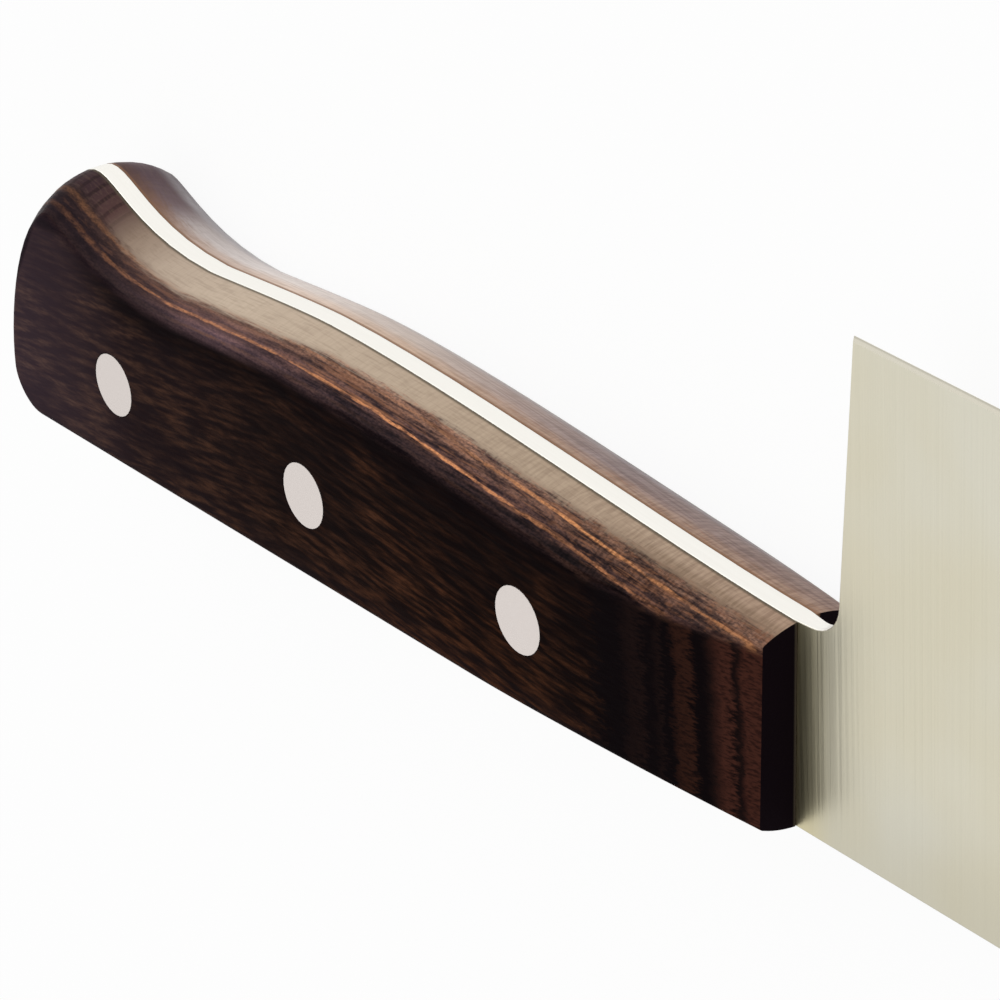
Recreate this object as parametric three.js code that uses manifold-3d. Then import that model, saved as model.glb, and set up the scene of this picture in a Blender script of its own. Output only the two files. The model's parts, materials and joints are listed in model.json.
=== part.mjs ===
// Santoku knife: a full-tang blade between two crowned wooden scales, held by three two-piece rivets.
// Millimetres. +X points to the tip, +Y to the cutting edge and +Z up through the left face.
// The knife lies on its right scale, with the origin below the middle of its bounding box.
// Inside, places are measured from the middle rivet: X along the rivet line, Z from the tang's mid-plane.
import * as THREE from 'three';
import { mergeVertices } from 'three/addons/utils/BufferGeometryUtils.js';
import Module from 'manifold-3d';

const wasm = await Module();
wasm.setup();

// Blade and tang, one sheet of steel
const steelThickness = 2;
const bladeLength = 165; // heel corner to tip, along the spine
const bladeHeight = 46.6; // spine to cutting edge at the heel
const heelForward = 7.45; // scale front to heel corner, along the spine
const heelLean = 4.4; // degrees that the heel leans towards the tip
const spineFall = 0.45; // degrees between the spine and the rivet line
const spineStraight = 104; // spine length before it drops to the tip
const tipDepth = 34; // spine line to tip
const tipRake = 27; // degrees between the heel's direction and the back of the tip
const tipDropReach = 26; // reach of the drop's curve at the tip
const spineDropReach = 38; // reach of the drop's curve at the spine
const edgeHeelReach = 92; // reach of the edge's curve at the heel
const edgeClosing = 1.4; // degrees that the edge closes on the spine at the heel
const edgeSweep = 12; // degrees that the edge climbs at the tip
const edgeTipReach = 40; // reach of the edge's curve at the tip
const knuckleRadius = 3.2; // fillet between the heel and the tang
const grindThickness = 0.3; // left by the flat grind at the heel's edge
const distalTaper = 0.3; // loss of spine thickness from handle to tip
const grindStart = 5; // scale front to the start of the full grind
const grindRadius = 30; // wheel radius where the grind runs out
const bevelWidth = 0.5;
const edgeThickness = 0.06;

// Grip outline seen from the side
const scaleFront = 62.3; // middle rivet to the scales' front end
const frontLean = 3.15; // degrees that the front end leans towards the tip
const bellyAtFront = 9.3;
const bellyFrontReach = 17;
const bellyFrontRise = 2.2; // degrees
const swellBehind = 3.3; // middle rivet to the palm swell
const swellHeight = 14;
const swellFrontReach = 19;
const swellBackReach = 6;
const hollowBehind = 23.6; // middle rivet to the finger hollow
const hollowHeight = 12.9;
const hollowFrontReach = 1.6;
const hollowBackReach = 16;
const beakBehind = 46; // middle rivet to the beak
const beakHeight = 16.4;
const beakSlope = 35.2; // degrees
const beakFrontReach = 6.7;
const beakBackReach = 7.9;
const buttBehind = 55.4; // middle rivet to the butt
const buttBelow = 4.4;
const buttUpperReach = 5.4;
const buttLowerReach = 3.7;
const cornerBehind = 48.5; // middle rivet to where the butt's corner meets the spine
const cornerReach = 3.4;
const spineDepth = 11.25;
const spineRiseStart = 24.4; // middle rivet to where the spine rises to the blade
const spineRiseReach = 12;
const spineAtFront = 10.15;
const spineFrontReach = 10;

// Grip section
const gripThickness = 15;
const frontThickness = 9.5; // over both scales at their front end
const taperLength = 25.3; // front stretch that thins
const crownRadius = 10.75;
const cornerRadius = 1; // between the crown and the flat side
const frontCornerRadius = 0.35; // the same at the front end, where the thinned side meets the crown

// Rivets, each a tube half from the left and a pin half from the right
const rivetPitch = 32.8;
const headDiameter = 6.4;
const headThickness = 2.4;
const tubeDiameter = 4.2;
const pinDiameter = 2.6;
const rivetClearance = 0.05; // all round, between rivet and hole and between pin and tube
const rivetEndGap = 0.4; // at the end of the tube and of the pin
const pinLength = 8;

// Smoothness
const roundSides = 32;
const crownSteps = 6;
const cornerSteps = 3;
const taperSteps = 10;
const curveSteps = 12;
const edgeSteps = 32;
const filletSteps = 8;
const grindSteps = 6;
const halvings = 40; // of the range in which a place on a curve is looked for

const cutterMargin = 2; // cutters and blanks run past what they cut
const radians = THREE.MathUtils.degToRad;
const at = (x, y) => new THREE.Vector2(x, y);
const heading = (angle) => at(Math.cos(angle), Math.sin(angle));
const rivetNames = ['rear', 'middle', 'front'];
const rivetPlaces = [-rivetPitch, 0, rivetPitch];
const halfSteel = steelThickness / 2;
const halfGrip = gripThickness / 2;
const halfFront = frontThickness / 2;
const taperStart = scaleFront - taperLength;
const frontAt = (y) => scaleFront + Math.tan(radians(frontLean)) * y;
const bellyFront = at(frontAt(bellyAtFront), bellyAtFront);
const spineFront = at(frontAt(-spineAtFront), -spineAtFront);
const bellyTangent = heading(Math.PI - radians(bellyFrontRise));
const bladeTurn = -radians(spineFall);
const spineTangent = heading(bladeTurn);

// A closed mesh becomes a solid: shared points merged, collapsed faces dropped, faces turned outwards.
function solidOf(geometry) {
  const bare = geometry.clone();
  bare.deleteAttribute('normal');
  bare.deleteAttribute('uv');
  const merged = mergeVertices(bare);
  const points = merged.attributes.position;
  const corners = [0, 1, 2].map(() => new THREE.Vector3());
  const faces = [];
  let volume = 0;
  for (let i = 0; i < merged.index.count; i += 3) {
    const face = [0, 1, 2].map((k) => merged.index.getX(i + k));
    if (new Set(face).size < 3) continue;
    faces.push(face);
    face.forEach((point, k) => corners[k].fromBufferAttribute(points, point));
    volume += corners[0].dot(corners[1].cross(corners[2]));
  }
  if (volume < 0) faces.forEach((face) => face.reverse());
  return new wasm.Manifold(new wasm.Mesh({
    numProp: 3,
    vertProperties: new Float32Array(points.array),
    triVerts: new Uint32Array(faces.flat()),
  }));
}

function geometryOf(solid) {
  const mesh = solid.getMesh();
  const geometry = new THREE.BufferGeometry();
  geometry.setAttribute('position', new THREE.BufferAttribute(mesh.vertProperties, 3));
  geometry.setIndex(new THREE.BufferAttribute(mesh.triVerts, 1));
  geometry.computeVertexNormals();
  return geometry;
}

function cut(blank, cutters) {
  return cutters.reduce((rest, cutter) => rest.subtract(solidOf(cutter)), solidOf(blank));
}

// A solid of revolution about +Z from [radius, height] pairs that start and end on the axis
function turned(profile) {
  const points = profile.map(([radius, height]) => at(radius, height));
  return new THREE.LatheGeometry(points, roundSides).rotateX(Math.PI / 2);
}

const mirrored = (geometry) => geometry.clone().scale(1, 1, -1);

// Grip outline, in curves from the belly at the front end round the butt to the spine at the front end
function gripCurves() {
  const swell = at(-swellBehind, swellHeight);
  const hollow = at(-hollowBehind, hollowHeight);
  const beak = at(-beakBehind, beakHeight);
  const beakTangent = heading(Math.PI + radians(beakSlope));
  const butt = at(-buttBehind, -buttBelow);
  const corner = at(-cornerBehind, -spineDepth);
  const rise = at(spineRiseStart, -spineDepth);
  const along = (point, direction, reach) => point.clone().addScaledVector(direction, reach);
  return {
    bellyToSwell: new THREE.CubicBezierCurve(
      bellyFront,
      along(bellyFront, bellyTangent, bellyFrontReach),
      at(swell.x + swellFrontReach, swell.y),
      swell,
    ),
    swellToHollow: new THREE.CubicBezierCurve(
      swell,
      at(swell.x - swellBackReach, swell.y),
      at(hollow.x + hollowFrontReach, hollow.y),
      hollow,
    ),
    hollowToBeak: new THREE.CubicBezierCurve(
      hollow,
      at(hollow.x - hollowBackReach, hollow.y),
      along(beak, beakTangent, -beakFrontReach),
      beak,
    ),
    beakToButt: new THREE.CubicBezierCurve(
      beak,
      along(beak, beakTangent, beakBackReach),
      at(butt.x, butt.y + buttUpperReach),
      butt,
    ),
    buttToCorner: new THREE.CubicBezierCurve(
      butt,
      at(butt.x, butt.y - buttLowerReach),
      at(corner.x - cornerReach, corner.y),
      corner,
    ),
    straightSpine: new THREE.LineCurve(corner, rise),
    risingSpine: new THREE.CubicBezierCurve(
      rise,
      at(rise.x + spineRiseReach, rise.y),
      along(spineFront, spineTangent, -spineFrontReach),
      spineFront,
    ),
  };
}

const grip = gripCurves();

// Where a curve that runs steadily along X passes a given X
function shareAtX(curve, x) {
  const rising = curve.getPoint(1).x > curve.getPoint(0).x;
  let [low, high] = [0, 1];
  for (let i = 0; i < halvings; i += 1) {
    const middle = (low + high) / 2;
    const before = curve.getPoint(middle).x < x;
    if (before === rising) low = middle;
    else high = middle;
  }
  return (low + high) / 2;
}

// Blade outline: the grip's outline, then the spine, the drop to the tip, the edge, the heel and its fillet
function onBlade(along, down) {
  return at(along, down).rotateAround(at(0, 0), bladeTurn).add(spineFront);
}

const heelCorner = onBlade(heelForward, bladeHeight);
const tipAlong = heelForward + bladeLength;
const tip = onBlade(tipAlong, tipDepth);

function dropToTip() {
  const rake = radians(tipRake);
  return new THREE.CubicBezierCurve(
    onBlade(spineStraight, 0),
    onBlade(spineStraight + spineDropReach, 0),
    onBlade(tipAlong - tipDropReach * Math.sin(rake), tipDepth - tipDropReach * Math.cos(rake)),
    tip,
  );
}

function cuttingEdge() {
  const sweep = radians(edgeSweep);
  const close = radians(edgeClosing);
  return new THREE.CubicBezierCurve(
    tip,
    onBlade(tipAlong - edgeTipReach * Math.cos(sweep), tipDepth + edgeTipReach * Math.sin(sweep)),
    onBlade(heelForward + edgeHeelReach * Math.cos(close), bladeHeight - edgeHeelReach * Math.sin(close)),
    heelCorner,
  );
}

// The fillet touches the heel and the belly's line, carried on past the front end.
function knuckleFillet() {
  const bellyAngle = -radians(bellyFrontRise);
  const heelAngle = bladeTurn + Math.PI / 2 - radians(heelLean);
  const forward = heading(bellyAngle);
  const upward = heading(heelAngle);
  const reach = heelCorner.clone().sub(bellyFront).cross(upward) / forward.cross(upward);
  const setback = knuckleRadius * Math.tan((heelAngle - bellyAngle) / 2);
  const centre = bellyFront.clone().addScaledVector(forward, reach - setback);
  centre.addScaledVector(heading(bellyAngle + Math.PI / 2), knuckleRadius);
  const [start, end] = [heelAngle - Math.PI / 2, bellyAngle - Math.PI / 2];
  return new THREE.EllipseCurve(centre.x, centre.y, knuckleRadius, knuckleRadius, start, end, true);
}

function bladeShape() {
  const points = [];
  const walk = (curve, steps) => points.push(...curve.getPoints(steps));
  Object.values(grip).forEach((curve) => walk(curve, curveSteps));
  walk(dropToTip(), curveSteps);
  walk(cuttingEdge(), edgeSteps);
  walk(knuckleFillet(), filletSteps);
  const shape = new THREE.Shape(points.filter((p, i) => i === 0 || !p.equals(points[i - 1])));
  rivetPlaces.forEach((x) => {
    shape.holes.push(new THREE.Path().absarc(x, 0, tubeDiameter / 2 + rivetClearance, 0, 2 * Math.PI));
  });
  return shape;
}

// Height of the ground left face over a place on the blade
const grindFall = (halfSteel - grindThickness / 2) / bladeHeight;
const distalFall = distalTaper / 2 / (tipAlong - grindStart);
function groundHeight(place) {
  const local = place.clone().sub(spineFront).rotateAround(at(0, 0), -bladeTurn);
  return halfSteel - grindFall * local.y - distalFall * (local.x - grindStart);
}

// The wheel's path over the left face: a flat floor with an arc at the handle, swept from spine to edge
function grindCutter() {
  const rise = steelThickness;
  const sweep = Math.acos(1 - rise / grindRadius);
  const length = tipAlong - grindStart + cutterMargin;
  const width = bladeHeight + 2 * cutterMargin;
  const path = new THREE.Shape();
  path.moveTo(length, 0);
  path.lineTo(length, rise);
  path.absarc(0, grindRadius, grindRadius, -Math.PI / 2 - sweep, -Math.PI / 2, false);
  const options = { depth: width, bevelEnabled: false, curveSegments: grindSteps };
  const cutter = new THREE.ExtrudeGeometry(path, options);
  cutter.rotateX(Math.PI / 2).translate(0, width - cutterMargin, 0);
  cutter.rotateX(-Math.atan(grindFall)).rotateY(Math.atan(distalFall));
  cutter.translate(grindStart, 0, halfSteel).rotateZ(bladeTurn);
  return cutter.translate(spineFront.x, spineFront.y, 0);
}

// The stone's path along the left side of the edge: one slanting section carried along the edge
function bevelCutter() {
  const edge = cuttingEdge();
  const places = [];
  for (let i = 0; i <= edgeSteps; i += 1) {
    places.push({ point: edge.getPoint(i / edgeSteps), tangent: edge.getTangent(i / edgeSteps) });
  }
  const [first, last] = [places[0], places[edgeSteps]];
  const beyond = (place, reach) => ({
    point: place.point.clone().addScaledVector(place.tangent, reach),
    tangent: place.tangent,
  });
  const path = [beyond(first, -cutterMargin), ...places, beyond(last, cutterMargin)];
  const points = path.flatMap(({ point, tangent }) => {
    const inward = at(-tangent.y, tangent.x);
    const shoulder = groundHeight(point.clone().addScaledVector(inward, bevelWidth));
    const slope = (shoulder - edgeThickness / 2) / bevelWidth;
    const corner = (depth, height) => {
      const place = point.clone().addScaledVector(inward, depth);
      return new THREE.Vector3(place.x, place.y, height);
    };
    const slant = (depth) => corner(depth, edgeThickness / 2 + slope * depth);
    const pastShoulder = 2 * bevelWidth;
    return [
      slant(-cutterMargin),
      slant(pastShoulder),
      corner(pastShoulder, halfSteel + cutterMargin),
      corner(-cutterMargin, halfSteel + cutterMargin),
    ];
  });
  const sides = 4;
  const end = points.length - sides;
  const faces = [0, 1, 2, 0, 2, 3, end, end + 2, end + 1, end, end + 3, end + 2];
  for (let i = 0; i < end; i += sides) {
    for (let j = 0; j < sides; j += 1) {
      const [a, b] = [i + j, i + ((j + 1) % sides)];
      faces.push(a, b + sides, b, a, a + sides, b + sides);
    }
  }
  return new THREE.BufferGeometry().setFromPoints(points).setIndex(faces);
}

function bladeGeometry() {
  const options = { depth: steelThickness, bevelEnabled: false, curveSegments: roundSides / 2 };
  const sheet = new THREE.ExtrudeGeometry(bladeShape(), options).translate(0, 0, -halfSteel);
  const leftCuts = [grindCutter(), bevelCutter()];
  return geometryOf(cut(sheet, [...leftCuts, ...leftCuts.map(mirrored)]));
}

// Along X the flat sides thin on an arc towards the front end, and their corners grow sharper.
const taperShare = (x) => Math.max(0, x - taperStart) / taperLength;
const halfGripAt = (x) => halfGrip - (halfGrip - halfFront) * taperShare(x) ** 2;
const cornerAt = (x) => cornerRadius - (cornerRadius - frontCornerRadius) * Math.min(1, taperShare(x));

// Section of a scale at X from the tang's face up the crown and round the corner: [inset, height] pairs
function scaleSection(x) {
  const corner = cornerAt(x);
  const cornerHeight = halfGripAt(x) - corner;
  const reach = crownRadius - corner;
  const startAngle = Math.asin(halfSteel / crownRadius);
  const endAngle = Math.asin(cornerHeight / reach);
  const face = crownRadius * Math.cos(startAngle);
  const section = [];
  for (let i = 0; i <= crownSteps; i += 1) {
    const angle = startAngle + ((endAngle - startAngle) * i) / crownSteps;
    section.push([face - crownRadius * Math.cos(angle), crownRadius * Math.sin(angle)]);
  }
  section[0] = [0, halfSteel];
  for (let i = 1; i <= cornerSteps; i += 1) {
    const angle = endAngle + ((Math.PI / 2 - endAngle) * i) / cornerSteps;
    const inset = face - reach * Math.cos(endAngle) - corner * Math.cos(angle);
    section.push([inset, cornerHeight + corner * Math.sin(angle)]);
  }
  return section;
}

// Places round the grip, each with its inward direction. The front stretch has pairs of equal X.
function gripStations() {
  const frontEnd = Math.max(bellyFront.x, spineFront.x) + cutterMargin;
  const station = (curve, share) => {
    const tangent = curve.getTangent(share);
    return { point: curve.getPoint(share), inward: at(-tangent.y, tangent.x) };
  };
  const past = (point, tangent, x) => ({
    point: point.clone().addScaledVector(tangent, (x - point.x) / tangent.x),
    inward: at(-tangent.y, tangent.x),
  });
  const belly = [];
  const spine = [];
  for (let i = 0; i <= taperSteps; i += 1) {
    const x = THREE.MathUtils.lerp(frontEnd, taperStart, i / taperSteps);
    const spineCurve = x < spineRiseStart ? grip.straightSpine : grip.risingSpine;
    belly.push(x > bellyFront.x
      ? past(bellyFront, bellyTangent, x)
      : station(grip.bellyToSwell, shareAtX(grip.bellyToSwell, x)));
    spine.unshift(x > spineFront.x
      ? past(spineFront, spineTangent, x)
      : station(spineCurve, shareAtX(spineCurve, x)));
  }
  belly[0].inward = at(0, -1);
  spine[taperSteps].inward = at(0, 1);
  const middle = [];
  const stretch = (curve, from, to) => {
    for (let i = 1; i <= curveSteps; i += 1) {
      middle.push(station(curve, THREE.MathUtils.lerp(from, to, i / curveSteps)));
    }
  };
  stretch(grip.bellyToSwell, shareAtX(grip.bellyToSwell, taperStart), 1);
  stretch(grip.swellToHollow, 0, 1);
  stretch(grip.hollowToBeak, 0, 1);
  stretch(grip.beakToButt, 0, 1);
  stretch(grip.buttToCorner, 0, 1);
  const lineEnd = shareAtX(grip.straightSpine, Math.min(taperStart, spineRiseStart));
  stretch(grip.straightSpine, 0, lineEnd);
  if (taperStart > spineRiseStart) stretch(grip.risingSpine, 0, shareAtX(grip.risingSpine, taperStart));
  middle.pop();
  return [...belly, ...middle, ...spine];
}

// Blank of the left scale: its section carried round the grip, a flat side, and the front stretch in rungs
function scaleBlank() {
  const stations = gripStations();
  const count = stations.length;
  const levels = crownSteps + cornerSteps;
  const points = stations.flatMap(({ point, inward }) => (
    scaleSection(point.x).map(([inset, height]) => {
      const place = point.clone().addScaledVector(inward, inset);
      return new THREE.Vector3(place.x, place.y, height);
    })
  ));
  const faces = [];
  const quad = (a, b, c, d) => faces.push(a, b, c, a, c, d);
  const index = (i, level) => i * (levels + 1) + level;
  const cap = (indices, facesUp) => {
    const contour = indices.map((i) => at(points[i].x, points[i].y));
    THREE.ShapeUtils.triangulateShape(contour, []).forEach((face) => {
      const corners = face.map((k) => indices[k]);
      faces.push(...(facesUp ? corners : corners.reverse()));
    });
  };
  const ring = (level, from, to) => {
    const indices = [];
    for (let i = from; i <= to; i += 1) indices.push(index(i, level));
    return indices;
  };
  for (let level = 0; level < levels; level += 1) {
    for (let i = 0; i + 1 < count; i += 1) {
      quad(index(i, level), index(i + 1, level), index(i + 1, level + 1), index(i, level + 1));
    }
    quad(index(count - 1, level), index(0, level), index(0, level + 1), index(count - 1, level + 1));
  }
  for (let i = 0; i < taperSteps; i += 1) {
    const back = count - 1 - i;
    quad(index(i, levels), index(i + 1, levels), index(back - 1, levels), index(back, levels));
  }
  cap(ring(levels, taperSteps, count - 1 - taperSteps), true);
  cap(ring(0, 0, count - 1), false);
  return new THREE.BufferGeometry().setFromPoints(points).setIndex(faces);
}

// Everything ahead of the scales' leaning front end
function frontCutter() {
  const reach = beakHeight + spineDepth;
  const far = frontAt(reach) + 2 * cutterMargin; // past the blank's own margin
  const shape = new THREE.Shape([
    at(frontAt(-reach), -reach),
    at(far, -reach),
    at(far, reach),
    at(frontAt(reach), reach),
  ]);
  return new THREE.ExtrudeGeometry(shape, { depth: gripThickness, bevelEnabled: false });
}

// Stepped holes of the left scale: the tube's way through and the head's seat
const headSeat = halfGrip - headThickness;
function rivetHoles() {
  const way = tubeDiameter / 2 + rivetClearance;
  const seat = headDiameter / 2 + rivetClearance;
  const profile = [
    [0, 0],
    [way, 0],
    [way, headSeat],
    [seat, headSeat],
    [seat, halfGrip + cutterMargin],
    [0, halfGrip + cutterMargin],
  ];
  return rivetPlaces.map((x) => turned(profile).translate(x, 0, 0));
}

function leftScaleCuts() {
  return [frontCutter(), ...rivetHoles()];
}

function leftScaleGeometry() {
  return geometryOf(cut(scaleBlank(), leftScaleCuts()));
}

function rightScaleGeometry() {
  return geometryOf(cut(mirrored(scaleBlank()), leftScaleCuts().map(mirrored)));
}

// The tube half sits in the left scale, and its bore takes the pin of the half in the right scale.
const pinEnd = pinLength - headSeat;
function tubeHalfGeometry() {
  const tube = tubeDiameter / 2;
  const bore = pinDiameter / 2 + rivetClearance;
  return geometryOf(solidOf(turned([
    [0, halfGrip],
    [headDiameter / 2, halfGrip],
    [headDiameter / 2, headSeat],
    [tube, headSeat],
    [tube, rivetEndGap - headSeat],
    [bore, rivetEndGap - headSeat],
    [bore, pinEnd + rivetEndGap],
    [0, pinEnd + rivetEndGap],
  ])));
}

function pinHalfGeometry() {
  const pin = pinDiameter / 2;
  return geometryOf(solidOf(turned([
    [0, -halfGrip],
    [headDiameter / 2, -halfGrip],
    [headDiameter / 2, -headSeat],
    [pin, -headSeat],
    [pin, pinEnd],
    [0, pinEnd],
  ])));
}

const steel = () => new THREE.MeshStandardMaterial({ color: 0xc8c3b4, roughness: 0.35, metalness: 1 });
const wood = () => new THREE.MeshStandardMaterial({ color: 0x2a1a15, roughness: 0.45, metalness: 0 });
const rivetSteel = () => new THREE.MeshStandardMaterial({ color: 0xd4ccc8, roughness: 0.4, metalness: 1 });

function piece(name, geometry, material) {
  const mesh = new THREE.Mesh(geometry, material);
  mesh.name = name;
  return mesh;
}

const assembly = new THREE.Group();
assembly.add(piece('blade', bladeGeometry(), steel()));
assembly.add(piece('handle_scale_left', leftScaleGeometry(), wood()));
assembly.add(piece('handle_scale_right', rightScaleGeometry(), wood()));
rivetNames.forEach((name, i) => {
  const tubeHalf = piece(`rivet_${name}_tube_half`, tubeHalfGeometry(), rivetSteel());
  const pinHalf = piece(`rivet_${name}_pin_half`, pinHalfGeometry(), rivetSteel());
  [tubeHalf, pinHalf].forEach((half) => half.position.setX(rivetPlaces[i]));
  assembly.add(tubeHalf, pinHalf);
});

// The finished knife is set down with the middle of its box over the origin.
const box = new THREE.Box3().setFromObject(assembly);
const middle = box.getCenter(new THREE.Vector3());
assembly.position.set(-middle.x, -middle.y, -box.min.z);
const knife = new THREE.Group();
knife.add(assembly);

export default knife;
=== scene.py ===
# %% [markdown]
# # A santoku knife lying on its right side
# The knife has nine pieces: one sheet of steel that is blade and tang together, two wooden handle
# scales and three rivets of two halves each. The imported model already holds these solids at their
# true size, in metres, with the knife along X, the cutting edge towards +Y and the left face up.
# Blender adds what a solid can't carry: softened edges, brushed steel, layered wood and light.

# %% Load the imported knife
import json
from math import pi, radians

import bpy
from mathutils import Matrix, Vector

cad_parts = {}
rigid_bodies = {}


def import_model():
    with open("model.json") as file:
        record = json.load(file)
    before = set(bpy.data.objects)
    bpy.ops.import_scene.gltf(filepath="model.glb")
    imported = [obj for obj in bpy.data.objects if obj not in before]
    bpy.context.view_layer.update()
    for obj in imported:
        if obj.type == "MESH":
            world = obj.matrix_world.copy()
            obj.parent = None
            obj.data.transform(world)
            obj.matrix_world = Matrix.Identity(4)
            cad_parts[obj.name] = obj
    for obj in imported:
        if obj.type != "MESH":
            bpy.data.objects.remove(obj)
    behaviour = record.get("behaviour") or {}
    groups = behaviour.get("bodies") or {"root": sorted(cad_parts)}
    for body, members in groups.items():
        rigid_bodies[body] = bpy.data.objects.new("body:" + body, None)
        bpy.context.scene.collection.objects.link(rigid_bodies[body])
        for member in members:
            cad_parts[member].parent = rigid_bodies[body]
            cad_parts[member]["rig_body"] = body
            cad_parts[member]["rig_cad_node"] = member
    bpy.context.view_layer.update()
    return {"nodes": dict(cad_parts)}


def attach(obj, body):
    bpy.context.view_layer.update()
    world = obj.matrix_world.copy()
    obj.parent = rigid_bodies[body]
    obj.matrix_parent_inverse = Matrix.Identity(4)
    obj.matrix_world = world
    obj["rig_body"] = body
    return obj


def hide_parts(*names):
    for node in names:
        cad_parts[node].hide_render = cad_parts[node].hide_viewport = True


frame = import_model()
nodes = frame["nodes"]
mm = 0.001
print("nodes:", ", ".join(sorted(nodes)))

# %% [markdown]
# ## The camera
# The photograph looks down on the handle from the edge side, ahead of the heel, with a long lens, so
# lines that are parallel on the knife stay nearly parallel in the picture. A camera looks along its
# own -Z with +Y up. Here it is turned to its aim first and then rolled about that line of sight,
# which is easier to read than three angles.

# %% Set the camera
camera_place = Vector((215.1, 162.04, 203.87)) * mm
camera_aim = Vector((-68.96, -8.06, 7.5)) * mm
camera_roll = radians(-110.701)
sensor_width, focal_length = 36, 157.63
nearest_seen = 0.01

bpy.ops.object.select_all(action="DESELECT")
bpy.ops.object.camera_add(location=camera_place)
camera = bpy.context.object
camera.name = "camera"
camera.data.sensor_width = sensor_width
camera.data.lens = focal_length
camera.data.clip_start = nearest_seen
sight = (camera_aim - camera_place).to_track_quat("-Z", "Y")
camera.rotation_euler = (sight.to_matrix() @ Matrix.Rotation(camera_roll, 3, "Z")).to_euler()
bpy.context.scene.camera = camera
print("camera turned to", [round(turn, 4) for turn in camera.rotation_euler])

# %% [markdown]
# ## Copies that can be finished
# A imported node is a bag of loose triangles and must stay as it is. To soften an edge, the piece is
# duplicated, its doubled points are merged so that faces know their neighbours, and the copy then
# stands for the node. Limited dissolve clears the seams between triangles of one flat face, which
# leaves clean outlines for the bevel to follow. The normals that came with the node are cleared,
# because they would keep the old facets in sight.

# %% A copy of a node, merged and clean
merge_reach = 0.002 * mm
flat_angle = radians(0.05)


def start_editing(piece, mode):
    bpy.ops.object.select_all(action="DESELECT")
    piece.select_set(True)
    bpy.context.view_layer.objects.active = piece
    bpy.ops.object.mode_set(mode="EDIT")
    bpy.ops.mesh.select_mode(type=mode)


def stop_editing():
    bpy.ops.object.mode_set(mode="OBJECT")


def finishing_copy(node_name, piece_name):
    bpy.ops.object.select_all(action="DESELECT")
    node = nodes[node_name]
    node.select_set(True)
    bpy.context.view_layer.objects.active = node
    bpy.ops.object.duplicate()
    piece = bpy.context.object
    piece.name = piece_name
    piece.data.name = piece_name
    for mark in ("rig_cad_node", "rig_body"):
        del piece[mark]
    piece.parent = None
    start_editing(piece, "VERT")
    bpy.ops.mesh.select_all(action="SELECT")
    bpy.ops.mesh.remove_doubles(threshold=merge_reach)
    bpy.ops.mesh.dissolve_limited(angle_limit=flat_angle)
    bpy.ops.mesh.customdata_custom_splitnormals_clear()
    stop_editing()
    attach(piece, "root")
    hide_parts(node_name)
    return piece


print("points nearer than", merge_reach / mm, "mm are merged")

# %% [markdown]
# On the real knife a belt or a hand breaks the sharp edges. In Blender that is a bevel: sharp edges
# are found by the angle between their faces, and a test on their end points picks the wanted ones.
# Smooth shading then hides the facets, and weighted normals keep each large flat face flat right up
# to its border.

# %% Break chosen edges and shade a piece
sharp_angle = radians(50)
break_steps = 2


def select_edges(piece, wanted):
    """Selects the sharp edges whose two end points pass the test, and counts them."""
    start_editing(piece, "EDGE")
    bpy.ops.mesh.select_all(action="DESELECT")
    bpy.ops.mesh.edges_select_sharp(sharpness=sharp_angle)
    stop_editing()
    points = piece.data.vertices
    for edge in piece.data.edges:
        edge.select = edge.select and all(wanted(points[index].co) for index in edge.vertices)
    return sum(edge.select for edge in piece.data.edges)


def break_edges(piece, wanted, width):
    """Bevels the sharp edges that pass the test, and counts them."""
    count = select_edges(piece, wanted)
    start_editing(piece, "EDGE")
    bpy.ops.mesh.bevel(
        offset=width, segments=break_steps, profile=0.5, affect="EDGES", clamp_overlap=False
    )
    stop_editing()
    return count


def polish(piece, angle):
    """Shades smoothly up to the angle, with each large flat face kept flat to its border."""
    bpy.ops.object.shade_smooth_by_angle(angle=angle)
    bpy.ops.object.modifier_add(type="WEIGHTED_NORMAL")
    weighted = piece.modifiers[-1]
    weighted.keep_sharp = True
    bpy.ops.object.modifier_apply(modifier=weighted.name)


print("an edge is broken in", break_steps, "steps")

# %% [markdown]
# ## The blade
# A kitchen blade is never quite sharp along its spine, heel and tang: a belt breaks those edges by
# less than a tenth of a millimetre, and that thin facet catches the light. Only the cutting edge stays
# keen. The bevel works on the selected edges, so the cutting edge, which lies within about a tenth of
# a millimetre of the middle of the sheet, is left out by its height.

# %% Break the blade's edges
tang_plane = 7.5 * mm
keen_half_height = 0.12 * mm
blade_break = 0.07 * mm
blade_facets = radians(12)


def off_the_cutting_edge(point):
    return abs(point.z - tang_plane) > keen_half_height


blade = finishing_copy("blade", "blade_finished")
blade_edges = break_edges(blade, off_the_cutting_edge, blade_break)
polish(blade, blade_facets)
print("blade:", blade_edges, "edges broken,", len(blade.data.polygons), "faces")

# %% [markdown]
# ## The handle scales
# Each scale is ground flush with the tang and then polished, which rounds the wood a little more
# than the steel. The rounding leaves a hairline groove along the tang and a fine ring around each
# rivet head. Both are real edges of the wood, so they are bevelled there, and the smooth crown is
# shaded across its facets.

# %% Soften the scales along the tang and round the rivets
tang_half = 1 * mm
grip_half = 7.5 * mm
on_plane = 0.02 * mm
wood_break = 0.1 * mm
wood_facets = radians(25)


def beside_tang_or_rivet(point):
    height = abs(point.z - tang_plane)
    return abs(height - tang_half) < on_plane or abs(height - grip_half) < on_plane


scales = []
for side in ("left", "right"):
    scale = finishing_copy(f"handle_scale_{side}", f"scale_{side}_polished")
    softened = break_edges(scale, beside_tang_or_rivet, wood_break)
    polish(scale, wood_facets)
    scales.append(scale)
    print(scale.name, softened, "edges softened,", len(scale.data.polygons), "faces")

# %% [markdown]
# ## The rivets
# The heads are ground flush with the wood, and their rims keep a slight break. The two halves of a
# rivet meet inside the tang, so only the flat ends show.

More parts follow.
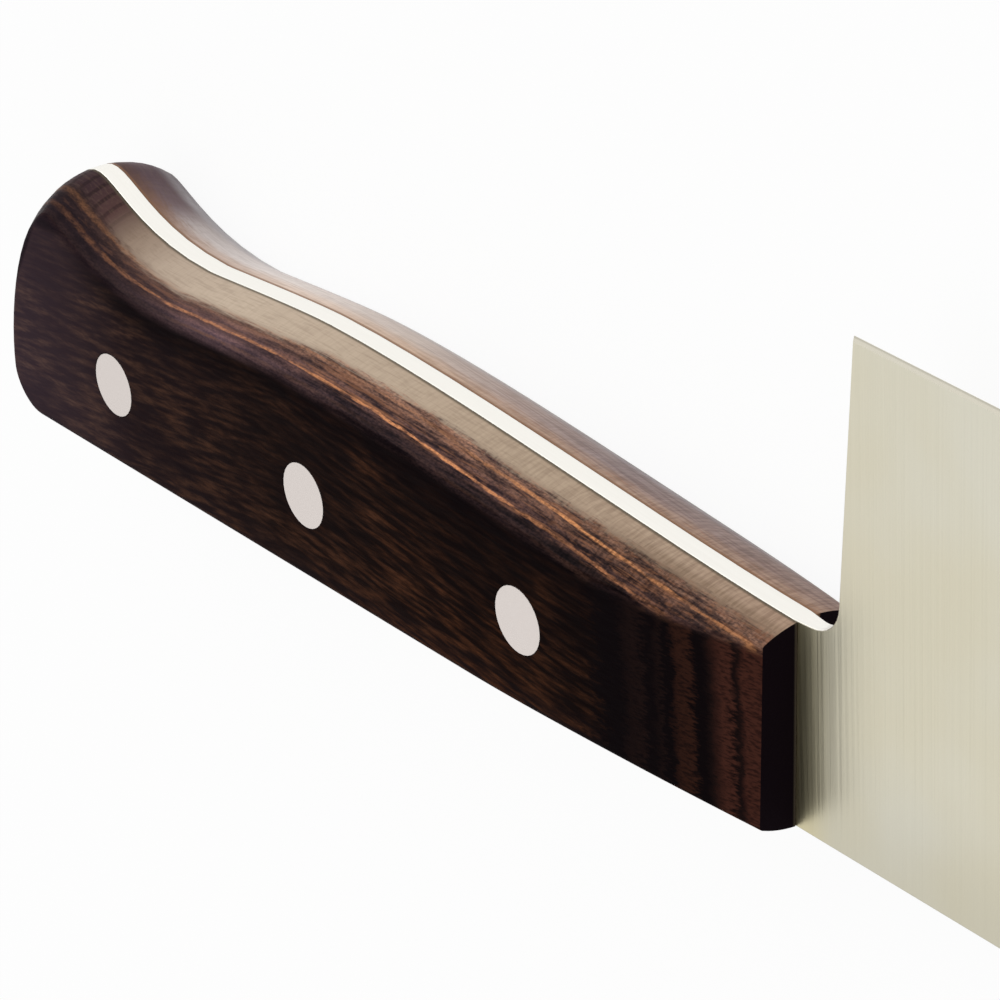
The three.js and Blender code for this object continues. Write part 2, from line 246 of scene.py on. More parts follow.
# %% Break the rims of the rivet heads
rim_break = 0.06 * mm
rivet_facets = radians(25)


def on_a_head(point):
    return abs(abs(point.z - tang_plane) - grip_half) < on_plane


rivets = []
for place in ("rear", "middle", "front"):
    for half in ("tube", "pin"):
        name = f"rivet_{place}_{half}_half"
        rivet = finishing_copy(name, f"rivet_{place}_{half}_ground")
        break_edges(rivet, on_a_head, rim_break)
        polish(rivet, rivet_facets)
        rivets.append(rivet)
print(len(rivets), "rivet halves ground")

# %% [markdown]
# ## A short way to write node trees
# A material is a graph. Each line below adds one node and joins it to earlier ones: a socket given
# as an input is linked, and a plain value is set on the node itself. All patterns read Object
# coordinates, scaled to millimetres on the knife, so that they stay fixed to it from every side.

# %% Helpers for materials


class Finish:
    """A material whose nodes are added one line at a time."""

    def __init__(self, name):
        self.material = bpy.data.materials.new(name)
        self.material.use_nodes = True
        self.tree = self.material.node_tree
        self.shader = self.tree.nodes["Principled BSDF"]
        metres = self.tree.nodes.new("ShaderNodeTexCoord").outputs["Object"]
        scaled = self.add("ShaderNodeVectorMath", {"Vector": metres, "Scale": 1 / mm}, operation="SCALE")
        self.place = scaled.outputs["Vector"]
        parts = self.add("ShaderNodeSeparateXYZ", {"Vector": self.place})
        self.x, self.y, self.z = (parts.outputs[axis] for axis in "XYZ")

    def add(self, kind, inputs=None, **settings):
        node = self.tree.nodes.new(kind)
        for name, value in settings.items():
            setattr(node, name, value)
        for name, value in (inputs or {}).items():
            self.set(node, name, value)
        return node

    def set(self, node, name, value):
        socket = node.inputs[name]
        if isinstance(value, bpy.types.NodeSocket):
            self.tree.links.new(value, socket)
        else:
            socket.default_value = value

    def math(self, operation, first, second=0.0):
        node = self.add("ShaderNodeMath", {0: first, 1: second}, operation=operation)
        return node.outputs["Value"]

    def rise(self, value, low, high, start=0.0, end=1.0, shape="SMOOTHSTEP"):
        """Goes from start to end as the value goes from low to high."""
        inputs = {"Value": value, "From Min": low, "From Max": high, "To Min": start, "To Max": end}
        node = self.add("ShaderNodeMapRange", inputs, interpolation_type=shape)
        return node.outputs["Result"]

    def noise(self, per_mm, detail=3.0, turn=0.0):
        """Noise that changes about so many times a millimetre along X, Y and Z, turned about Z."""
        grain_size = [1 / number for number in per_mm]
        inputs = {"Vector": self.place, "Rotation": (0, 0, turn), "Scale": grain_size}
        mapping = self.add("ShaderNodeMapping", inputs, vector_type="TEXTURE")
        inputs = {"Vector": mapping.outputs["Vector"], "Scale": 1.0, "Detail": detail}
        return self.add("ShaderNodeTexNoise", inputs).outputs["Fac"]

    def mix(self, amount, first, second, blend="MIX"):
        node = self.add("ShaderNodeMix", data_type="RGBA", blend_type=blend)
        self.set(node, 0, amount)
        for socket, value in ((6, first), (7, second)):
            value = value if isinstance(value, bpy.types.NodeSocket) else (*value, 1)
            self.set(node, socket, value)
        return node.outputs[2]

    def ramp(self, value, *stops):
        """Colours along a value, given as pairs of a place and a colour."""
        low, high = stops[0][0], stops[-1][0]
        share = self.rise(value, low, high, shape="LINEAR")
        node = self.add("ShaderNodeValToRGB", {"Fac": share})
        band = node.color_ramp
        while len(band.elements) < len(stops):
            band.elements.new(1.0)
        for element, (place, colour) in zip(band.elements, stops):
            element.position = (place - low) / (high - low)
            element.color = (*colour, 1)
        return node.outputs["Color"]

    def bump(self, height, depth):
        inputs = {"Height": height, "Distance": depth, "Strength": 1.0}
        return self.add("ShaderNodeBump", inputs).outputs["Normal"]

    def surface(self, **sockets):
        for name, value in sockets.items():
            value = (*value, 1) if isinstance(value, tuple) else value
            self.set(self.shader, name.replace("_", " "), value)


print("patterns are written in millimetres on the knife")

# %% [markdown]
# ## Brushed blade steel
# The blade is finished on a belt that runs from spine to edge, so its scratches lie along Y. Noise
# squeezed along X and drawn out along Y gives that grain. It goes into the roughness, faintly into
# the colour and into a very shallow bump, which shows where the dark end of the handle is mirrored.
# Close to the wood, where the dark end of the handle is mirrored, the steel is a little yellower, and
# it is dimmer towards the spine.

# %% Steel for the faces of the blade
brushed_depth = 0.011 * mm
yellow_steel = (0.64, 0.58, 0.38)

brushed = Finish("brushed_blade_steel")
fine_scratches = brushed.noise((6, 0.05, 0.05), detail=4)
broad_scratches = brushed.noise((1.6, 0.02, 0.02), detail=2)
patches = brushed.noise((0.05, 0.05, 0.05), detail=2)
steel_tone = brushed.mix(
    brushed.rise(patches, 0.35, 0.65), (0.585, 0.55, 0.43), (0.6, 0.578, 0.485)
)
beside_wood = brushed.rise(brushed.x, -27, -22.5, 1.0, 0.0)
steel_tone = brushed.mix(beside_wood, steel_tone, yellow_steel)
spine_shade = brushed.rise(brushed.y, -23, -9, 0.88, 1.0)
scratch_shade = brushed.rise(fine_scratches, 0.3, 0.7, 0.975, 1.025)
steel_shade = brushed.math("MULTIPLY", spine_shade, scratch_shade)
shaded = brushed.add("ShaderNodeVectorMath", {0: steel_tone, "Scale": steel_shade}, operation="SCALE")
scratch_depth = brushed.math("ADD", fine_scratches, brushed.math("MULTIPLY", broad_scratches, 3))
brushed.surface(
    Base_Color=shaded.outputs["Vector"],
    Metallic=1.0,
    Roughness=brushed.rise(fine_scratches, 0.25, 0.75, 0.38, 0.46),
    Normal=brushed.bump(scratch_depth, brushed_depth),
)
print(brushed.material.name, "has", len(brushed.tree.nodes), "nodes")

# %% [markdown]
# The narrow edges of the sheet, round the tang, spine and heel, are ground lengthwise on a finer
# belt, and their colour is painted much paler than the faces, a painted reflection of the white paper.
# The keen bevel along the cutting edge is honed, so it is smoother and mirrors darker things, and its
# last tenth of a millimetre is painted darker still, a painted reflection. Each takes a material slot
# of its own, and the faces are given to the slots by the direction in which they look.

# %% Steel for the narrow edges and the honed bevel
ground_depth = 0.004 * mm
keen_reflection_tone = (0.2, 0.19, 0.155)

ground = Finish("ground_steel_edge")
edge_grain = ground.noise((0.12, 0.12, 6))
# painted reflection: the narrow edges are painted far paler than the faces, for the white paper they
# mirror
ground.surface(
    Base_Color=ground.mix(edge_grain, (0.93, 0.905, 0.84), (0.99, 0.97, 0.92)),
    Metallic=1.0,
    Roughness=ground.rise(edge_grain, 0.25, 0.75, 0.3, 0.42),
    Normal=ground.bump(edge_grain, ground_depth),
)
honed = Finish("honed_edge_steel")
stone_marks = honed.noise((5, 1, 1))
off_middle = honed.math("ABSOLUTE", honed.math("SUBTRACT", honed.z, tang_plane / mm))
honed_tone = honed.mix(stone_marks, (0.52, 0.49, 0.41), (0.61, 0.58, 0.49))
# painted reflection: the last tenth of a millimetre of the bevel is painted darker
keen_shade = honed.rise(off_middle, 0.05, 0.09, 0.35, 0.0)
honed.surface(
    Base_Color=honed.mix(keen_shade, honed_tone, keen_reflection_tone),
    Metallic=1.0,
    Roughness=honed.rise(stone_marks, 0.25, 0.75, 0.2, 0.32),
)

narrow_slot, honed_slot = 1, 2
narrow_below, honed_above = 0.5, 0.1
blade.data.materials.clear()
for steel in (brushed, ground, honed):
    blade.data.materials.append(steel.material)
for face in blade.data.polygons:
    if abs(face.normal.z) < narrow_below:
        face.material_index = narrow_slot
    elif face.normal.y > honed_above:
        face.material_index = honed_slot
slots = [face.material_index for face in blade.data.polygons]
print("faces, narrow edges, honed faces:", [slots.count(index) for index in range(3)])

# %% [markdown]
# ## Rivet steel
# The heads are ground together with the wood, in no clear direction, so their scratches are short
# and mixed.

# %% Steel for the rivet heads
head_depth = 0.003 * mm

head_steel = Finish("ground_rivet_steel")
head_scratches = head_steel.noise((1, 3, 1), detail=4, turn=radians(30))
head_steel.surface(
    Base_Color=head_steel.mix(head_scratches, (0.605, 0.552, 0.522), (0.665, 0.61, 0.58)),
    Metallic=1.0,
    Roughness=head_steel.rise(head_scratches, 0.25, 0.75, 0.38, 0.46),
    Normal=head_steel.bump(head_scratches, head_depth),
)
for rivet in rivets:
    rivet.data.materials.clear()
    rivet.data.materials.append(head_steel.material)
print("rivet halves in steel:", len(rivets))

# %% [markdown]
# ## Layered handle wood
# The scales are pressed from thin dyed veneers that lie flat against the tang. Where the crown cuts
# through them they show as stripes of constant height over the tang: pale taupe next to the steel,
# then brown with orange threads, and dark purple outside. So the colour can be told from three
# things: the height over the tang, the place along the handle and the way the surface faces. Part of
# that colour is painted light: the pale taupe carries a painted sheen, and the flat side is painted
# darker than the crown as painted shade. Noise drawn out along the handle gives the fibres, which
# also tear the borders between veneers, and noise squeezed along it gives the marks of sanding across
# the grain.

# %% What the handle wood is told from


class Veneers(Finish):
    """Handle wood: heights are in millimetres over the middle of the tang."""

    def __init__(self, name):
        super().__init__(name)
        facing = self.add("ShaderNodeNewGeometry").outputs["Normal"]
        facing = self.add("ShaderNodeSeparateXYZ", {"Vector": facing})
        self.endwise = self.math("ABSOLUTE", facing.outputs["X"])
        self.flatwise = self.math("ABSOLUTE", facing.outputs["Z"])
        over_tang = self.math("SUBTRACT", self.z, tang_plane / mm)
        self.height = self.math("ABSOLUTE", over_tang)
        self.right = self.rise(over_tang, -0.5, 0.5, 1.0, 0.0)
        self.fibres = self.noise((0.3, 3.5, 4.5), detail=5)
        self.grit = self.noise((2.5, 6, 6), detail=2)
        self.sanding = self.noise((3.4, 0.5, 0.5), detail=2)
        self.waver = self.noise((0.05, 0.05, 0.05), detail=1)
        self.layer = self.math("ADD", self.height, self.rise(self.waver, 0.2, 0.8, -0.12, 0.12, "LINEAR"))

    def frayed(self, reach):
        """The layer's height with its border torn along the fibres."""
        return self.math("ADD", self.layer, self.rise(self.fibres, 0.2, 0.8, -reach, reach, "LINEAR"))

    def times(self, first, *others):
        for other in others:
            first = self.math("MULTIPLY", first, other)
        return first

    def along(self, *stops):
        """A number that changes along the handle."""
        return self.ramp(self.x, *((place, 3 * (number,)) for place, number in stops))


print("veneers are told apart by their height over the tang")

# %% [markdown]
# The pale veneer next to the tang is partly pale wood and partly a painted sheen. It is painted
# lightest in the hollow of the grip, as painted light, and darkens into the beak at the back as
# painted shade, where the crown also runs across its growth rings. At the front a browner stripe
# shows in it. The right scale is redder wood with the same painted light in its hollow, and a painted
# lilac sheen lies on it away from the tang, paler and greyer at its far rim.

# %% Pale veneers beside the tang
ring_pitch = 1.4
ring_tone, stripe_tone = (0.02, 0.011, 0.013), (0.2, 0.13, 0.08)
rim_sheen_tone, red_thread = (0.5, 0.475, 0.49), (0.38, 0.2, 0.125)
streak_shade, dark_fibre = (0.42, 0.36, 0.36), (0.16, 0.105, 0.07)


def left_grain_and_painted_light(wood):
    # painted light and shade: lightest in the hollow of the grip, darker into the beak
    pale = wood.ramp(
        wood.x,
        (-143, (0.035, 0.02, 0.022)),
        (-131, (0.048, 0.026, 0.03)),
        (-127, (0.095, 0.05, 0.046)),
        (-123, (0.3, 0.22, 0.165)),
        (-117, (0.48, 0.38, 0.295)),
        (-105, (0.54, 0.435, 0.335)),
        (-85, (0.5, 0.395, 0.298)),
        (-60, (0.45, 0.345, 0.25)),
        (-42, (0.44, 0.325, 0.235)),
        (-27, (0.41, 0.285, 0.205)),
    )
    turns = wood.math("MULTIPLY", wood.math("ADD", wood.x, wood.waver), 2 * pi / ring_pitch)
    rings = wood.rise(wood.math("SINE", turns), 0.2, 0.95, 0.0, 0.6)
    rings = wood.times(rings, wood.along((-128, 1.0), (-125, 0.0)))
    pale = wood.mix(rings, pale, ring_tone)
    front_stripe = wood.times(wood.rise(wood.frayed(0.3), 2.1, 2.6, 0.0, 0.4), wood.rise(wood.x, -52, -40))
    return wood.mix(front_stripe, pale, stripe_tone)


def right_grain_and_painted_light(wood):
    # painted light and shade: lightest in the hollow of the grip, darker into the beak
    reddish = wood.ramp(
        wood.x,
        (-143, (0.07, 0.045, 0.045)),
        (-131, (0.105, 0.06, 0.057)),
        (-126, (0.24, 0.14, 0.105)),
        (-119, (0.54, 0.41, 0.345)),
        (-102, (0.76, 0.61, 0.51)),
        (-84, (0.64, 0.47, 0.355)),
        (-70, (0.48, 0.335, 0.255)),
        (-27, (0.43, 0.295, 0.225)),
    )
    # painted sheen: lilac away from the tang, over the red wood
    lilac_sheen = wood.ramp(
        wood.x,
        (-143, (0.085, 0.058, 0.068)),
        (-130, (0.125, 0.086, 0.1)),
        (-126, (0.19, 0.145, 0.16)),
        (-122, (0.54, 0.49, 0.48)),
        (-112, (0.8, 0.75, 0.73)),
        (-102, (0.8, 0.73, 0.69)),
        (-86, (0.62, 0.54, 0.495)),
        (-70, (0.46, 0.365, 0.335)),
        (-57, (0.32, 0.26, 0.265)),
        (-27, (0.34, 0.24, 0.21)),
    )
    painted_light = wood.mix(wood.rise(wood.frayed(0.5), 1.4, 3.4, 0.0, 0.85), reddish, lilac_sheen)
    # painted sheen: paler and greyer at the far rim
    far_rim_sheen = wood.along((-132, 0.3), (-127, 0.85), (-110, 0.5))
    far_rim_sheen = wood.times(wood.rise(wood.height, 4.6, 6.4), far_rim_sheen)
    painted_light = wood.mix(far_rim_sheen, painted_light, rim_sheen_tone)
    strands = wood.noise((0.12, 2, 3), detail=4)
    streaks = wood.times(wood.rise(strands, 0.35, 0.6, 1.0, 0.0), wood.along((-100, 0.12), (-65, 0.45)))
    painted_light = wood.mix(streaks, painted_light, streak_shade, "MULTIPLY")
    threads = wood.rise(wood.noise((0.12, 5, 7), detail=2), 0.5, 0.66, 0.0, 0.5)
    near_tang = wood.rise(wood.height, 1.8, 3.0, 1.0, 0.2)
    threads = wood.times(threads, near_tang, wood.rise(wood.x, -100, -65))
    return wood.mix(threads, painted_light, red_thread)


def pale_veneer(wood):
    pale = wood.mix(wood.right, left_grain_and_painted_light(wood), right_grain_and_painted_light(wood))
    return wood.mix(wood.rise(wood.fibres, 0.3, 0.55, 0.2, 0.0), pale, dark_fibre)


print("pale veneers: left and right")

# %% [markdown]
# Over the pale veneer lie brown ones that darken outwards. Their level is the height over the tang,
# less what the veneers rise towards the front. Tones change with the level and along the handle, with
# painted light in the hollow of the grip and painted shade at the beak, and noise drawn out along the
# handle adds dark streaks, speckles and single orange fibres.

# %% The brown veneers
beak_shade_tone, orange_fibre = (0.014, 0.0085, 0.012), (0.31, 0.135, 0.07)


def brown_tone(wood, level):
    tone = wood.ramp(
        level,
        (4.0, (0.19, 0.107, 0.08)),
        (4.9, (0.13, 0.07, 0.054)),
        (5.6, (0.064, 0.035, 0.034)),
        (6.4, (0.053, 0.029, 0.029)),
        (6.75, (0.036, 0.021, 0.0245)),
        (7.3, (0.021, 0.0125, 0.014)),
    )
    front_shade = wood.along((-58, 1.0), (-48, 0.6), (-44, 0.6), (-36, 0.72))
    tone = wood.mix(1.0, tone, front_shade, "MULTIPLY")
    # painted light: brighter in the hollow of the grip
    painted_light = wood.along((-122, 0.9), (-113, 1.2), (-104, 1.9), (-95, 1.4), (-88, 1.1), (-72, 1.0))
    tone = wood.mix(wood.rise(level, 4.9, 5.5), tone, wood.mix(1.0, tone, painted_light, "MULTIPLY"))
    # painted light in the hollow for the outer levels, and darker towards the front
    outer_painted_light_and_tone = wood.along(
        (-122, 0.9), (-113, 1.2), (-104, 1.8), (-96, 1.2), (-88, 1.0), (-72, 0.55), (-45, 0.45)
    )
    tone = wood.mix(wood.rise(level, 6.1, 6.5), tone, wood.mix(1.0, tone, outer_painted_light_and_tone, "MULTIPLY"))
    # painted shade: darker into the beak
    beak_shade = wood.along((-131, 0.9), (-126, 0.75), (-122, 0.45), (-113, 0.0))
    return wood.mix(beak_shade, tone, beak_shade_tone)


def brown_fibres(wood, level, tone):
    strands = wood.noise((0.15, 1.8, 2.6), detail=4)
    streaks = wood.mix(wood.rise(strands, 0.35, 0.65), (0.37, 0.39, 0.47), (1.65, 1.6, 1.48))
    tone = wood.mix(wood.along((-131, 0.3), (-100, 0.5), (-88, 1.0)), tone, streaks, "MULTIPLY")
    speckles = wood.rise(wood.grit, 0.3, 0.7)
    speckles = wood.mix(speckles, (0.6, 0.63, 0.7), (1.42, 1.39, 1.32))
    tone = wood.mix(wood.along((-131, 0.4), (-100, 0.5), (-85, 1.0)), tone, speckles, "MULTIPLY")
    flecks = wood.rise(wood.noise((0.8, 3, 3.5), detail=3), 0.5, 0.68)
    flecks = wood.times(flecks, wood.along((-131, 0.0), (-110, 0.12), (-60, 0.2), (-42, 0.45)))
    hairs = wood.rise(wood.noise((0.1, 2.2, 3.2), detail=2), 0.54, 0.68)
    hairs = wood.times(hairs, wood.along((-128, 0.1), (-113, 0.25), (-98, 0.3), (-86, 0.45), (-45, 0.5)))
    bright = wood.times(wood.math("MAXIMUM", flecks, hairs), wood.rise(level, 6.1, 6.5, 1.0, 0.04))
    return wood.mix(bright, tone, orange_fibre)


print("brown veneers darken outwards")

# %% [markdown]
# Thin orange threads part the brown veneers. Each keeps to one level, wanders a little, breaks up and
# comes and goes along the handle, and all widen at the beak, where the crown cuts them at a slant.
# The place of a thread also turns its noise, so that no two wander alike.

# %% The threads


def thread(wood, level, place, half_width):
    wander = wood.rise(wood.noise((0.1, 0.1, 0.1), turn=place), 0.2, 0.8, -0.08, 0.08, "LINEAR")
    away = wood.math("ABSOLUTE", wood.math("SUBTRACT", wood.math("ADD", level, wander), place))
    away = wood.math("DIVIDE", away, wood.along((-131, 2.5), (-116, 1.0)))
    broken = wood.noise((0.45, 2, 2), detail=4, turn=0.01 * place)
    line = wood.rise(away, 0.3 * half_width, half_width, 1.0, 0.0)
    return wood.times(line, wood.rise(broken, 0.3, 0.55, 0.25, 1.0))


def add_threads(wood, level, tone):
    upper = wood.along(
        (-131, 0.12), (-120, 0.22), (-108, 0.15), (-80, 0.15), (-66, 0.3),
        (-58, 0.6), (-52, 1.0), (-44, 0.7), (-34, 0.5),
    )
    lower = wood.along(
        (-131, 0.08), (-120, 0.2), (-113, 0.5), (-90, 0.55), (-72, 1.0),
        (-63, 0.95), (-51, 0.25), (-46, 0.65), (-38, 0.2),
    )
    doubled = wood.along((-96, 0.0), (-88, 0.5), (-79, 0.5), (-74, 0.0))
    outer = wood.along(
        (-113, 0.1), (-104, 0.9), (-97, 0.4), (-88, 0.35), (-77, 0.1),
        (-65, 0.25), (-58, 0.1), (-50, 0.2), (-38, 0.4),
    )
    speckled = wood.rise(wood.grit, 0.35, 0.6, 0.55, 1.0)
    for place, half_width, thread_tone, shown in (
        (4.42, 0.18, (0.78, 0.34, 0.14), upper),
        (5.72, 0.13, (0.4, 0.17, 0.08), doubled),
        (5.97, 0.15, (0.74, 0.31, 0.135), lower),
        (6.95, 0.2, (0.14, 0.068, 0.046), outer),
    ):
        line = wood.times(thread(wood, level, place, half_width), speckled, shown)
        tone = wood.mix(line, tone, thread_tone)
    return tone


def brown_veneers(wood):
    level = wood.math("SUBTRACT", wood.frayed(0.12), wood.along((-80, 0.0), (-40, 0.45)))
    tone = brown_fibres(wood, level, brown_tone(wood, level))
    return add_threads(wood, level, tone)


print("four threads part the brown veneers")

# %% [markdown]
# On the crown the pale veneer gives way to the brown ones at a border that steps inwards past the
# hollow of the grip. The border is torn along the fibres, and towards the front by coarse sanding
# across them too, which also leaves dark scores on the brown wood there.

# %% The crown
sanding_shade, score_shade = (0.45, 0.4, 0.38), (0.4, 0.38, 0.4)


def crown(wood, veneers):
    whiskers = wood.rise(wood.sanding, 0.2, 0.8, -0.4, 0.4, "LINEAR")
    whiskers = wood.times(whiskers, wood.along((-110, 0.15), (-75, 0.4), (-45, 0.9)))
    pale_reach = wood.along(
        (-131, 3.6), (-124, 4.15), (-113, 4.6), (-96, 4.45),
        (-88, 3.9), (-72, 3.6), (-58, 3.7), (-45, 3.45),
    )
    pale_reach = wood.math("ADD", pale_reach, wood.math("MULTIPLY", wood.right, 4))
    past = wood.math("SUBTRACT", wood.math("ADD", wood.frayed(0.4), whiskers), pale_reach)
    softness = wood.along((-110, 0.55), (-75, 0.35), (-45, 0.55))
    browning = wood.rise(wood.math("DIVIDE", past, softness), -1, 1)
    colour = wood.mix(browning, pale_veneer(wood), veneers)
    depth = wood.along((-120, 0.1), (-75, 0.15), (-42, 0.5))
    marks = wood.times(wood.rise(wood.sanding, 0.3, 0.7, 1.0, 0.0), depth)
    colour = wood.mix(marks, colour, sanding_shade, "MULTIPLY")
    scores = wood.rise(wood.noise((2.6, 0.9, 0.9), detail=2), 0.5, 0.62)
    scores = wood.times(scores, browning, wood.along((-58, 0.0), (-46, 0.55), (-37, 0.5), (-32, 0.2)))
    return wood.mix(scores, colour, score_shade, "MULTIPLY")


print("crown: pale veneer, border, brown veneers")

# %% [markdown]
# The flat side is darkest along its rim under the crown, and there the brown veneers roll over the
# corner with no line between. To find the rim, the border of the flat faces is measured at steps along
# the handle and written into a ramp. A ramp can't hold numbers below nought, so the measure is
# shifted.

# %% Measure the rim of the flat side
rim_shift, rim_steps = 25, 24
flat_above = 0.97
flat_faces = [face for face in scales[0].data.polygons if face.normal.z > flat_above]
side_points = [point.co / mm for point in scales[0].data.vertices]
flat_edges = [
    (side_points[first], side_points[second])
    for face in flat_faces
    for first, second in face.edge_keys
]
flat_back = min(point.x for edge in flat_edges for point in edge)
flat_front = max(point.x for edge in flat_edges for point in edge)


def rim_at(place):
    """The border of the flat side towards the edge, at a place along the handle."""
    crossed = []
    for first, second in flat_edges:
        span = second.x - first.x
        share = (place - first.x) / span if span else -1
        if 0 <= share <= 1:
            crossed.append(first.y + share * (second.y - first.y))
    return max(crossed)


rim_pitch = (flat_front - flat_back) / rim_steps
rim_places = [flat_back + rim_pitch * (step + 0.5) for step in range(rim_steps)]
rim_stops = [(place, rim_at(place) + rim_shift) for place in rim_places]
print("rim:", [round(share - rim_shift, 1) for place, share in rim_stops])

# %% [markdown]
# The flat side shows the outermost veneer, nearly black, with clouds of long brown grain that leans
# one way at the back and the other way at the front. Towards the front the side is thinned through
# the next veneers, which stand there as upright bands with torn borders, painted much darker than the
# same veneers on the crown as painted shade.

# %% The flat side
spine_black, rim_black = (0.017, 0.0105, 0.0135), (0.0028, 0.0014, 0.002)
seam = (0.0035, 0.002, 0.0026)
dim = (0.0105, 0.005, 0.0045)
umber = (0.028, 0.0101, 0.0064)
red = (0.053, 0.0178, 0.012)


def black_veneer(wood):
    return wood.ramp(
        wood.x,
        (-143, (0.034, 0.021, 0.029)),
        (-130, (0.026, 0.0155, 0.02)),
        (-119, (0.0115, 0.0062, 0.0078)),
        (-95, (0.0055, 0.003, 0.0033)),
        (-60, (0.0035, 0.0018, 0.002)),
        (-27, (0.003, 0.0016, 0.0018)),
    )


def outermost_side(wood, inward):
    black = wood.mix(wood.rise(wood.y, -24, -17, 0.5, 0.0), black_veneer(wood), spine_black)
    brown = wood.ramp(
        wood.x,
        (-140, (0.105, 0.06, 0.05)),
        (-115, (0.064, 0.03, 0.0185)),
        (-62, (0.079, 0.0275, 0.0115)),
        (-50, (0.046, 0.017, 0.008)),
    )
    clouds = wood.rise(wood.noise((0.06, 0.16, 0.1), detail=2), 0.36, 0.62, 0.25, 1.0)
    back_grain = wood.noise((0.2, 1.5, 0.8), detail=5, turn=radians(7))
    front_grain = wood.noise((0.2, 1.5, 0.8), detail=5, turn=radians(-5))
    grain = wood.mix(wood.rise(wood.x, -105, -80), back_grain, front_grain)
    lines = wood.rise(wood.noise((0.8, 4, 0.8), detail=3), 0.3, 0.7, 0.45, 1.0)
    side = wood.mix(wood.times(clouds, wood.rise(grain, 0.38, 0.74, 0.06, 1.0), lines), black, brown)
    rim_dark = wood.times(wood.rise(inward, 0.5, 4.0, 0.8, 0.0), wood.rise(wood.x, -132, -118))
    return wood.mix(rim_dark, side, rim_black)


def flat_side(wood, veneers):
    inward = wood.math("SUBTRACT", wood.math("SUBTRACT", wood.along(*rim_stops), rim_shift), wood.y)
    fibre_ends = wood.noise((1.2, 4.5, 2), detail=4)
    torn = wood.rise(fibre_ends, 0.2, 0.8, -0.12, 0.12, "LINEAR")
    ragged = wood.rise(wood.noise((0.5, 0.6, 0.3)), 0.2, 0.8, -0.08, 0.08, "LINEAR")
    band_height = wood.math("ADD", wood.height, wood.math("ADD", torn, ragged))
    # painted shade: these veneers are much darker here than on the crown
    bands = wood.ramp(
        band_height,
        (4.7, red), (5.1, red), (5.2, dim), (5.26, dim), (5.38, red), (5.55, red), (5.75, dim),
        (5.86, seam), (6.0, seam), (6.12, umber), (6.32, umber), (6.42, seam), (6.52, seam),
        (6.6, dim), (6.7, seam), (6.76, seam), (6.85, dim), (6.98, dim), (7.08, seam),
    )
    bands = wood.mix(wood.rise(fibre_ends, 0.34, 0.6, 0.65, 0.0), bands, seam)
    side = wood.mix(wood.rise(band_height, 7.22, 7.4), bands, outermost_side(wood, inward))
    roll = wood.rise(inward, -0.5, wood.along((-60, 0.5), (-44, 0.7)))
    return wood.mix(roll, veneers, side)


print("flat side: outermost veneer, with bands of the next ones at the front")

# %% [markdown]
# Last come the ends. End grain drinks the most oil and is dark, and the ends are painted almost black
# besides, as painted shade. A line of dark glue shows beside the tang.

# %% All of the handle wood
end_shade_tone = (0.0095, 0.0058, 0.0085)
left_glue, right_glue = (0.1, 0.082, 0.058), (0.24, 0.13, 0.075)


def handle_wood(wood):
    veneers = brown_veneers(wood)
    turning = wood.rise(wood.right, 0.0, 1.0, 0.7, 0.92, "LINEAR")
    turned = wood.rise(wood.right, 0.0, 1.0, 0.9, 0.99, "LINEAR")
    sideways = wood.rise(wood.flatwise, turning, turned)
    colour = wood.mix(sideways, crown(wood, veneers), flat_side(wood, veneers))
    rings = wood.noise((0.9, 0.1, 0.1), detail=2)
    end_grain = wood.mix(wood.rise(rings, 0.4, 0.6), (0.012, 0.007, 0.009), (0.036, 0.021, 0.02))
    colour = wood.mix(wood.rise(wood.endwise, 0.45, 0.75), colour, end_grain)
    # painted shade: the ends turn almost black
    colour = wood.mix(wood.rise(wood.endwise, 0.85, 0.97), colour, end_shade_tone)
    glue = wood.rise(wood.height, 1.15, 1.4, 0.8, 0.0)
    return wood.mix(glue, colour, wood.mix(wood.right, left_glue, right_glue))


print("ends and glue lines are dark")

# %% [markdown]
# The crown is polished by hand and by use, and the flat sides and ends are left duller. Gloss is one
# number on the shader, so the two finishes are two materials with the same veneers, and the faces
# are shared out between them by the way they look.

# %% Wood for the crown and for the flat sides
grain_depth = 0.012 * mm
side_above, end_above = 0.7, 0.97

polished = Veneers("polished_veneers")
polished.surface(
    Base_Color=handle_wood(polished),
    Roughness=polished.rise(polished.fibres, 0.3, 0.7, 0.34, 0.48),
    Specular_IOR_Level=0.02,
    Normal=polished.bump(polished.math("ADD", polished.fibres, polished.sanding), grain_depth),
)
dull = Veneers("dull_veneers")
dull.surface(
    Base_Color=handle_wood(dull),
    Roughness=dull.rise(dull.fibres, 0.3, 0.7, 0.45, 0.6),
    Specular_IOR_Level=0.006,
    Specular_Tint=(1.0, 0.6, 0.5),
    Normal=dull.bump(dull.fibres, grain_depth),
)
for scale in scales:
    scale.data.materials.clear()
    for finish in (polished, dull):
        scale.data.materials.append(finish.material)
    for face in scale.data.polygons:
        face.material_index = int(abs(face.normal.z) > side_above or abs(face.normal.x) > end_above)
    print(scale.name, sum(face.material_index for face in scale.data.polygons), "dull faces")

# %% [markdown]
# ## Floor and light
# The knife lies on plain white paper. Paper under a studio light looks white to the eye, so the
# camera and every mirror see part of it as plain white and the rest with its shadows, while the
# light that it throws back on the knife stays that of real paper. A broad soft sun stands for a
# window on the edge side, a second for a ceiling panel behind the spine, and a grey sky fills in.

# %% Lay the floor
floor_size, floor_drop = 8, 0.02 * mm
white_share = 0.92

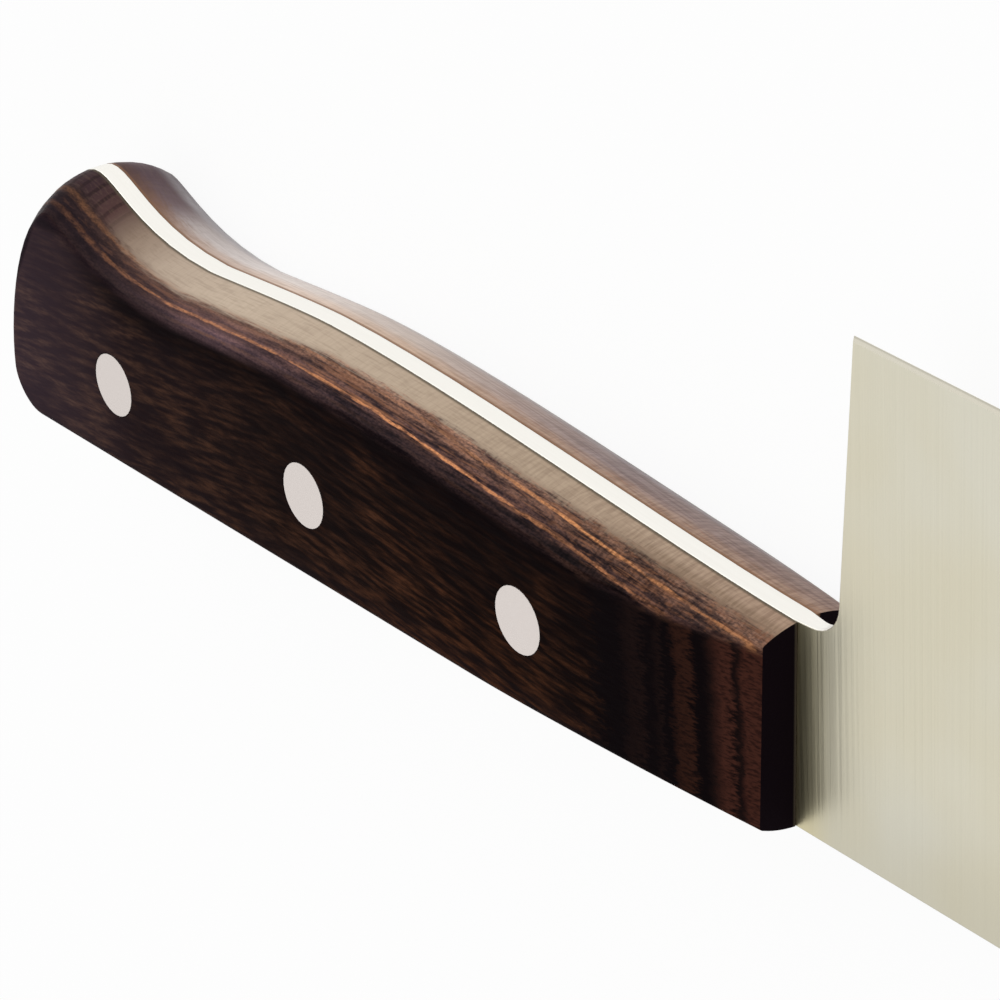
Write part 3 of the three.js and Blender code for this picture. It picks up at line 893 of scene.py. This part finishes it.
bpy.ops.object.select_all(action="DESELECT")
bpy.ops.mesh.primitive_plane_add(size=floor_size, location=(0, 0, -floor_drop))
floor = bpy.context.object
floor.name = "floor"
paper = Finish("white_paper")
paper.surface(Base_Color=(0.88, 0.88, 0.88), Roughness=0.9, Specular_IOR_Level=0.0)
rays = paper.add("ShaderNodeLightPath").outputs
looked_at = paper.math("MAXIMUM", rays["Is Camera Ray"], rays["Is Glossy Ray"])
looked_at = paper.math("MAXIMUM", looked_at, rays["Is Transmission Ray"])
white = paper.add("ShaderNodeEmission", {"Color": (1, 1, 1, 1), "Strength": 1.0})
whitened = paper.add("ShaderNodeMixShader", {0: paper.math("MULTIPLY", looked_at, white_share)})
paper.tree.links.new(paper.shader.outputs["BSDF"], whitened.inputs[1])
paper.tree.links.new(white.outputs["Emission"], whitened.inputs[2])
paper_output = paper.tree.nodes["Material Output"]
paper.tree.links.new(whitened.outputs["Shader"], paper_output.inputs["Surface"])
floor.data.materials.append(paper.material)
print("floor laid under the resting side")

# %% [markdown]
# A sun lamp with a wide angle gives the soft light of a large pane, with no lamp body in the way of
# other views.

# %% Hang the lamps
window_strength, panel_strength, sky_strength = 1.9, 0.8, 0.45


def soft_sun(name, towards, strength, width):
    """A lamp at infinity that shines from the given direction, as wide as the angle says."""
    bpy.ops.object.select_all(action="DESELECT")
    bpy.ops.object.light_add(type="SUN")
    lamp = bpy.context.object
    lamp.name = name
    lamp.data.energy = strength
    lamp.data.angle = width
    lamp.rotation_euler = Vector(towards).to_track_quat("Z", "Y").to_euler()


soft_sun("window", (-0.35, 0.85, 0.4), window_strength, radians(90))
soft_sun("ceiling_panel", (-0.5, -0.36, 0.79), panel_strength, radians(70))

sky = bpy.data.worlds.new("grey_sky")
bpy.context.scene.world = sky
sky.use_nodes = True
sky_shade = sky.node_tree.nodes["Background"].inputs
sky_shade["Color"].default_value = (1, 1, 1, 1)
sky_shade["Strength"].default_value = sky_strength
bpy.context.scene.view_settings.view_transform = "Standard"
